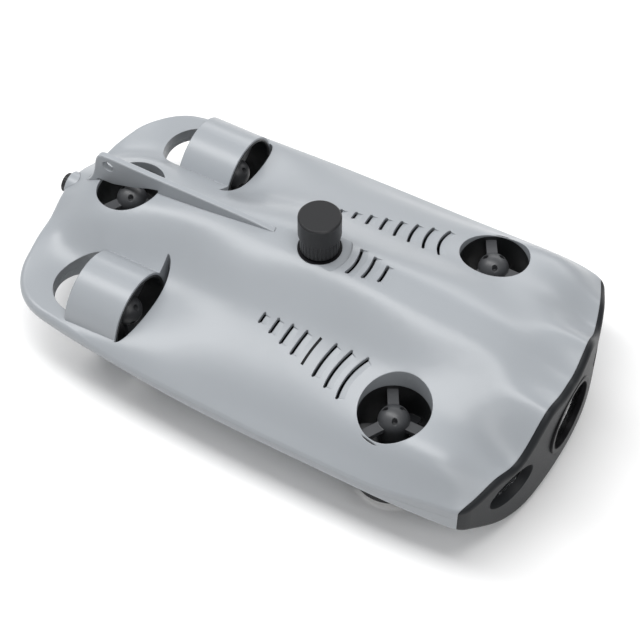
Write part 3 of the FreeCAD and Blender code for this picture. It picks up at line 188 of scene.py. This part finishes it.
def moulded_surface():
    """Fine moulding grain and slow drift: a height, a roughness shift and a tone shift."""
    if "Moulded surface" in bpy.data.node_groups:
        return bpy.data.node_groups["Moulded surface"]
    group = bpy.data.node_groups.new("Moulded surface", "ShaderNodeTree")
    socket(group, "Grain size", "NodeSocketFloat", True, 0.0006)
    socket(group, "Roughness", "NodeSocketFloat", True, 0.4)
    socket(group, "Colour", "NodeSocketColor", True, (0.5, 0.5, 0.5, 1))
    socket(group, "Base Color", "NodeSocketColor", False)
    socket(group, "Roughness", "NodeSocketFloat", False)
    socket(group, "Height", "NodeSocketFloat", False)
    nodes = group.nodes
    given, out = nodes.new("NodeGroupInput"), nodes.new("NodeGroupOutput")
    place = nodes.new("ShaderNodeTexCoord")
    scale = nodes.new("ShaderNodeMath")
    scale.operation = "DIVIDE"
    scale.inputs[0].default_value = 1.0
    link(group, given.outputs["Grain size"], scale.inputs[1])
    grain = noise(group, place, GRAIN_DETAIL)
    link(group, scale.outputs[0], grain.inputs["Scale"])
    drift = noise(group, place, DRIFT_DETAIL)
    drift.inputs["Scale"].default_value = DRIFT_SCALE
    shade = nodes.new("ShaderNodeVectorMath")
    shade.operation = "SCALE"
    tone = spread(group, drift, 1 - TONE_SHIFT, 1 + TONE_SHIFT)
    link(group, given.outputs["Colour"], shade.inputs[0])
    link(group, tone, shade.inputs["Scale"])
    link(group, shade.outputs[0], out.inputs["Base Color"])
    add = nodes.new("ShaderNodeMath")
    add.operation = "ADD"
    shift = spread(group, grain, -ROUGHNESS_SHIFT, ROUGHNESS_SHIFT)
    link(group, given.outputs["Roughness"], add.inputs[0])
    link(group, shift, add.inputs[1])
    link(group, add.outputs[0], out.inputs["Roughness"])
    link(group, grain.outputs["Fac"], out.inputs["Height"])
    return group


def soft_edge():
    """Normal that rounds a hard edge off by a small radius."""
    if "Soft edge" in bpy.data.node_groups:
        return bpy.data.node_groups["Soft edge"]
    group = bpy.data.node_groups.new("Soft edge", "ShaderNodeTree")
    socket(group, "Radius", "NodeSocketFloat", True, 0.0008)
    socket(group, "Normal", "NodeSocketVector", False)
    given, out = group.nodes.new("NodeGroupInput"), group.nodes.new("NodeGroupOutput")
    bevel = group.nodes.new("ShaderNodeBevel")
    bevel.samples = EDGE_SAMPLES
    link(group, given.outputs["Radius"], bevel.inputs["Radius"])
    link(group, bevel.outputs["Normal"], out.inputs["Normal"])
    return group


def grouped(tree, group, **values):
    """A shader group as a node, with its inputs set."""
    node = tree.nodes.new("ShaderNodeGroup")
    node.node_tree = group
    for name, value in values.items():
        node.inputs[name.replace("_", " ")].default_value = value
    return node


# ---- Materials ------------------------------------------------------------------------------

def blank_material(name):
    material = bpy.data.materials.new(name)
    material.use_nodes = True
    shader = material.node_tree.nodes["Principled BSDF"]
    return material, material.node_tree, shader


def moulded(name, tint, roughness, grain, edge, **constants):
    """Injection-moulded plastic, or a part with a like surface; constants go on its shader."""
    if name in bpy.data.materials:
        return bpy.data.materials[name]
    material, tree, shader = blank_material(name)
    surface = grouped(tree, moulded_surface(), Grain_size=grain, Colour=(*tint, 1))
    surface.inputs["Roughness"].default_value = roughness
    corner = grouped(tree, soft_edge(), Radius=edge)
    relief = tree.nodes.new("ShaderNodeBump")
    relief.inputs["Strength"].default_value = GRAIN_BUMP
    relief.inputs["Distance"].default_value = GRAIN_HEIGHT
    link(tree, surface.outputs["Base Color"], shader.inputs["Base Color"])
    link(tree, surface.outputs["Roughness"], shader.inputs["Roughness"])
    link(tree, surface.outputs["Height"], relief.inputs["Height"])
    link(tree, corner.outputs["Normal"], relief.inputs["Normal"])
    link(tree, relief.outputs["Normal"], shader.inputs["Normal"])
    for key, value in constants.items():
        shader.inputs[key.replace("_", " ")].default_value = value
    return material


def clear_glass(name, tint):
    if name in bpy.data.materials:
        return bpy.data.materials[name]
    material, tree, shader = blank_material(name)
    surface = grouped(tree, moulded_surface(), Grain_size=BROAD_GRAIN, Colour=(*tint, 1))
    link(tree, surface.outputs["Base Color"], shader.inputs["Base Color"])
    shader.inputs["Roughness"].default_value = WINDOW_ROUGHNESS
    shader.inputs["Transmission Weight"].default_value = 1.0
    shader.inputs["IOR"].default_value = WINDOW_INDEX
    return material


def hull_grey(values):
    return moulded("Hull grey", values.hull, values.roughness, values.grain, values.edge)


def steel():
    return moulded("Steel", tint=(0.58, 0.58, 0.60), roughness=0.28, grain=0.0003, edge=0.0002,
                   Metallic=1.0)


def dress(material, *names):
    """Give CAD nodes a finish on their own material slots."""
    for name in names:
        node = frame["nodes"][name]
        for slot in node.material_slots:
            slot.material = material


# ---- Vent strip: painted slot shade ---------------------------------------------------------

def deck_point(x, y):
    """Place on the deck at x and y, a hair above the moulding."""
    hull = frame["nodes"]["upper_shell"]
    into = hull.matrix_world.inverted()
    start = into @ Vector((x, y, CAD_BOX[1][2]))
    place = hull.ray_cast(start, into.to_3x3() @ Vector((0, 0, -1)))[1]
    return hull.matrix_world @ place + Vector((0, 0, VENT_LIFT))


def painted_slot_shade(material):
    """Dark strip of painted shade where the fourth starboard slot belongs: the moulding has no
    cut there, so the strip stands in for the slot's shadowed opening.
    """
    centre = Vector(next(row["pos_m"] for row in frame["joints"] if row["name"] == VENT_AXIS))
    first, last = VENT_TURNS
    points = []
    for step in range(VENT_STEPS + 1):
        turn = math.radians(first + (last - first) * step / VENT_STEPS)
        for radius in (VENT_RADIUS - VENT_HALF_WIDTH, VENT_RADIUS + VENT_HALF_WIDTH):
            place = centre + Vector((math.cos(turn), math.sin(turn), 0)) * radius
            points.append(deck_point(place.x, place.y))
    faces = [(2 * i, 2 * i + 1, 2 * i + 3, 2 * i + 2) for i in range(VENT_STEPS)]
    mesh = bpy.data.meshes.new("painted_slot_shade")
    mesh.from_pydata(points, [], faces)
    mesh.materials.append(material)
    strip = bpy.data.objects.new("painted_slot_shade", mesh)
    bpy.context.collection.objects.link(strip)
    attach(strip, "hull")


# ---- Studio ---------------------------------------------------------------------------------

def floor(tint):
    bpy.ops.mesh.primitive_plane_add(size=FLOOR_SIZE, location=(0, 0, -FLOOR_DROP))
    sheet = bpy.context.object
    sheet.name = "studio_floor"
    material, tree, shader = blank_material("Floor white")
    surface = grouped(tree, moulded_surface(), Grain_size=BROAD_GRAIN, Colour=(*tint, 1))
    link(tree, surface.outputs["Base Color"], shader.inputs["Base Color"])
    shader.inputs["Roughness"].default_value = FLOOR_ROUGHNESS
    shader.inputs["Specular IOR Level"].default_value = FLOOR_SPECULAR
    sheet.data.materials.append(material)


def world(strength):
    """Even light of that strength, seen by the camera and through the windows as white."""
    sky = bpy.data.worlds.new("Studio")
    bpy.context.scene.world = sky
    sky.use_nodes = True
    tree = sky.node_tree
    tree.nodes.clear()
    out = tree.nodes.new("ShaderNodeOutputWorld")
    even = tree.nodes.new("ShaderNodeBackground")
    even.inputs["Strength"].default_value = strength
    seen = tree.nodes.new("ShaderNodeBackground")
    seen.inputs["Strength"].default_value = 1.0
    path = tree.nodes.new("ShaderNodeLightPath")
    clear = tree.nodes.new("ShaderNodeMath")
    clear.operation = "MAXIMUM"
    link(tree, path.outputs["Is Camera Ray"], clear.inputs[0])
    link(tree, path.outputs["Is Transmission Ray"], clear.inputs[1])
    mix = tree.nodes.new("ShaderNodeMixShader")
    link(tree, clear.outputs[0], mix.inputs["Fac"])
    link(tree, even.outputs[0], mix.inputs[1])
    link(tree, seen.outputs[0], mix.inputs[2])
    link(tree, mix.outputs[0], out.inputs["Surface"])


def aim(thing, target):
    """Point a lamp at a place, with its long side along the vehicle."""
    away = (thing.location - Vector(target)).normalized()
    across = Vector((0, 1, 0)).cross(away).normalized()
    turned = Matrix((across, away.cross(across), away)).transposed()
    thing.rotation_euler = turned.to_euler()


def lamp(name, place, target, width, depth, strength):
    data = bpy.data.lights.new(name, "AREA")
    data.shape = "RECTANGLE"
    data.size, data.size_y = width, depth
    data.energy = strength
    thing = bpy.data.objects.new(name, data)
    thing.location = place
    aim(thing, target)
    bpy.context.collection.objects.link(thing)


def camera():
    data = bpy.data.cameras.new("Camera")
    data.lens = CAMERA_LENS
    data.sensor_width = CAMERA_SENSOR
    data.clip_start = CAMERA_CLIP
    thing = bpy.data.objects.new("Camera", data)
    turn, rise = math.radians(CAMERA_TURN), math.radians(CAMERA_RISE)
    back = Vector((math.sin(turn) * math.cos(rise), -math.cos(turn) * math.cos(rise),
                   math.sin(rise)))
    right = Vector((math.cos(turn), math.sin(turn), 0))
    up = back.cross(right)
    place = back * CAMERA_REACH + right * CAMERA_AIM[0] + up * CAMERA_AIM[1]
    thing.matrix_world = Matrix((right, up, back)).transposed().to_4x4()
    thing.location = place
    bpy.context.collection.objects.link(thing)
    bpy.context.scene.camera = thing


# ---- Operators ------------------------------------------------------------------------------

class VEHICLE_OT_hull(bpy.types.Operator):
    """Finish the hull mouldings, the fin, the nose bezel and the tether socket"""
    bl_idname = "vehicle.hull"
    bl_label = "Hull"

    def execute(self, context):
        values = context.scene.vehicle_hull
        dark = moulded("Bezel grey", values.bezel, 0.45, values.grain, values.edge,
                       Specular_IOR_Level=0.2)
        fin = moulded("Fin grey", values.hull, values.roughness, values.grain, values.edge / 3)
        # Near-black painted shade for the slot strip, in place of the dark opening of a
        # missing slot
        shade = moulded("Vent shade", tint=(0.004, 0.004, 0.0045), roughness=0.9,
                        grain=values.grain, edge=0)
        dress(hull_grey(values), "upper_shell", "lower_shell", "tether_socket")
        dress(fin, "tail_fin")
        dress(dark, "nose_bezel")
        # Lays the painted shade strip where the missing starboard slot would show dark
        painted_slot_shade(shade)
        return {"FINISHED"}


class VEHICLE_OT_nose(bpy.types.Operator):
    """Finish the camera, the lamps and the dark inserts of both ports"""
    bl_idname = "vehicle.nose"
    bl_label = "Camera, lamps and inserts"

    def execute(self, context):
        black = moulded("Satin black", tint=(0.006, 0.006, 0.007), roughness=0.4, grain=0.0004,
                        edge=0.0003, Specular_IOR_Level=0.15)
        cup = moulded("Dark cup", tint=(0.03, 0.03, 0.032), roughness=0.6, grain=0.001,
                      edge=0.0003, Specular_IOR_Level=0.2)
        chip = moulded("Lamp chip", tint=(0.30, 0.26, 0.12), roughness=0.6, grain=0.0004,
                       edge=0.0002)
        window = clear_glass("Window", (0.9, 0.93, 0.95))
        dress(black, "camera_ring", "camera_hood", "card_port_seat", "card_socket",
              "tether_insert")
        dress(window, "camera_window", "lamp_windows", "camera_lens")
        dress(cup, "lamp_reflectors")
        dress(chip, "lamp_leds")
        return {"FINISHED"}


class VEHICLE_OT_thrusters(bpy.types.Operator):
    """Finish liners, motor pods, motors, shafts and propellers"""
    bl_idname = "vehicle.thrusters"
    bl_label = "Thrusters"

    def execute(self, context):
        values = context.scene.vehicle_trim
        liner = moulded("Liner black", values.liner, roughness=0.38, grain=0.0005, edge=0.0004)
        pod = moulded("Pod grey", values.pod, roughness=0.40, grain=0.0005, edge=0.0006)
        blade = moulded("Propeller black", values.propeller, roughness=0.35, grain=0.0005,
                        edge=0.0003)
        potting = moulded("Potted motor", tint=(0.05, 0.03, 0.02), roughness=0.5, grain=0.0006,
                          edge=0.0002)
        for name in THRUSTERS:
            dress(liner, name + "_liner")
            dress(pod, name + "_pod")
            dress(blade, name + "_propeller")
            dress(steel(), name + "_shaft")
            dress(potting, name + "_motor")
        return {"FINISHED"}


class VEHICLE_OT_ports(bpy.types.Operator):
    """Finish the port cap, the lock ring and the brass pieces"""
    bl_idname = "vehicle.ports"
    bl_label = "Ports and brass"

    def execute(self, context):
        values = context.scene.vehicle_trim
        cap = moulded("Cap black", values.cap, roughness=0.42, grain=0.0004, edge=0.0005,
                      Specular_IOR_Level=0.4)
        brass = moulded("Contact brass", tint=(0.70, 0.48, 0.16), roughness=0.3, grain=0.0003,
                        edge=0.0001, Metallic=1.0)
        dress(cap, "card_port_cap", "tether_ring")
        dress(brass, "tether_contacts", "mount_insert", "board_standoffs")
        return {"FINISHED"}


class VEHICLE_OT_inside(bpy.types.Operator):
    """Finish the dry housing and what it holds, the fixings and the feet"""
    bl_idname = "vehicle.inside"
    bl_label = "Inside and underneath"

    def execute(self, context):
        rubber = moulded("Rubber", context.scene.vehicle_trim.rubber, roughness=0.7,
                         grain=0.0005, edge=0.0004)
        anodised = moulded("Anodised", tint=(0.03, 0.03, 0.034), roughness=0.35, grain=0.0003,
                           edge=0.0005, Metallic=0.7)
        sleeve = moulded("Cell sleeve", tint=(0.05, 0.16, 0.36), roughness=0.35, grain=0.001,
                         edge=0.0004)
        holder = moulded("Holder", tint=(0.03, 0.03, 0.03), roughness=0.5, grain=0.0005,
                         edge=0.0004)
        mask = moulded("Solder mask", tint=(0.01, 0.10, 0.04), roughness=0.3, grain=0.0008,
                       edge=0.0002)
        dress(rubber, "housing_seals")
        dress(hull_grey(context.scene.vehicle_hull), "feet")
        dress(anodised, "front_end_cap", "rear_end_cap", "pressure_tube")
        dress(sleeve, "battery_cells")
        dress(holder, "battery_holder", "board_sled")
        dress(mask, "control_boards")
        dress(steel(), "shell_screws", "ballast_bars", "depth_sensor")
        return {"FINISHED"}


class VEHICLE_OT_studio(bpy.types.Operator):
    """Set up the floor, the lamps, the even light and the camera"""
    bl_idname = "vehicle.studio"
    bl_label = "Studio"

    def execute(self, context):
        values = context.scene.vehicle_studio
        floor(values.floor)
        world(values.sky)
        lamp("Key", place=(-0.08, 0.30, 1.15), target=(0, 0.05, 0.05), width=0.40, depth=1.8,
             strength=values.key)
        lamp("Near front", place=(-0.50, -0.75, 0.95), target=(0, -0.05, 0.05), width=0.35,
             depth=0.9, strength=values.front)
        lamp("Far side", place=(1.05, 0.10, 0.65), target=(0, 0, 0.05), width=0.30, depth=1.4,
             strength=values.fill)
        camera()
        context.scene.view_settings.view_transform = "Standard"
        return {"FINISHED"}


class VEHICLE_PT_panel(bpy.types.Panel):
    """Lists the vehicle's operators"""
    bl_idname = "VEHICLE_PT_panel"
    bl_label = "Vehicle"
    bl_space_type = "VIEW_3D"
    bl_region_type = "UI"
    bl_category = "Vehicle"

    def draw(self, context):
        for operator in OPERATORS:
            self.layout.operator(operator.bl_idname)


SETTINGS = (("vehicle_hull", HullSettings), ("vehicle_trim", TrimSettings),
            ("vehicle_studio", StudioSettings))
OPERATORS = (VEHICLE_OT_hull, VEHICLE_OT_nose, VEHICLE_OT_thrusters, VEHICLE_OT_ports,
             VEHICLE_OT_inside, VEHICLE_OT_studio)


def register():
    for name, group in SETTINGS:
        bpy.utils.register_class(group)
        setattr(bpy.types.Scene, name, bpy.props.PointerProperty(type=group))
    for operator in OPERATORS:
        bpy.utils.register_class(operator)
    bpy.utils.register_class(VEHICLE_PT_panel)


def unregister():
    bpy.utils.unregister_class(VEHICLE_PT_panel)
    for operator in reversed(OPERATORS):
        bpy.utils.unregister_class(operator)
    for name, group in reversed(SETTINGS):
        delattr(bpy.types.Scene, name)
        bpy.utils.unregister_class(group)


def main():
    register()
    bpy.ops.vehicle.hull()
    bpy.ops.vehicle.nose()
    bpy.ops.vehicle.thrusters()
    bpy.ops.vehicle.ports()
    bpy.ops.vehicle.inside()
    bpy.ops.vehicle.studio()


if __name__ == "__main__":
    main()
